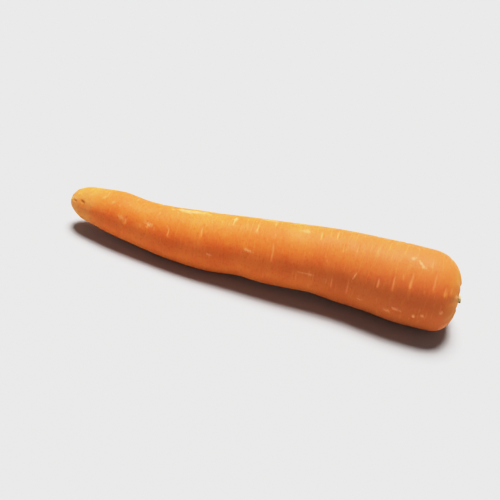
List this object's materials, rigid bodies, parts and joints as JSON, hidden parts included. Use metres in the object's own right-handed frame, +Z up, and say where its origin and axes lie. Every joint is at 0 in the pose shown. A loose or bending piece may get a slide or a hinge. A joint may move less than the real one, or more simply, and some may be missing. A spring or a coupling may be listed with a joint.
{
  "type": "carrot",
  "caption": "Topped orange carrot lying on its side: tapering taproot with a gentle bend, round shoulder, blunt tail and short trimmed leaf-stalk stubs in the crown.",
  "frame": {"origin": "on the surface that the carrot rests on, under the middle of its bounding box", "axes": "+X along the root towards the crown, +Z up"},
  "size_m": [0.208, 0.04, 0.0396],
  "materials": {
    "root_skin": "satin",
    "stalk_flesh": "matte"
  },
  "bodies": {
    "root": {"taproot": "root_skin", "leaf_stalk_stubs": "stalk_flesh"}
  },
  "joints": []
}
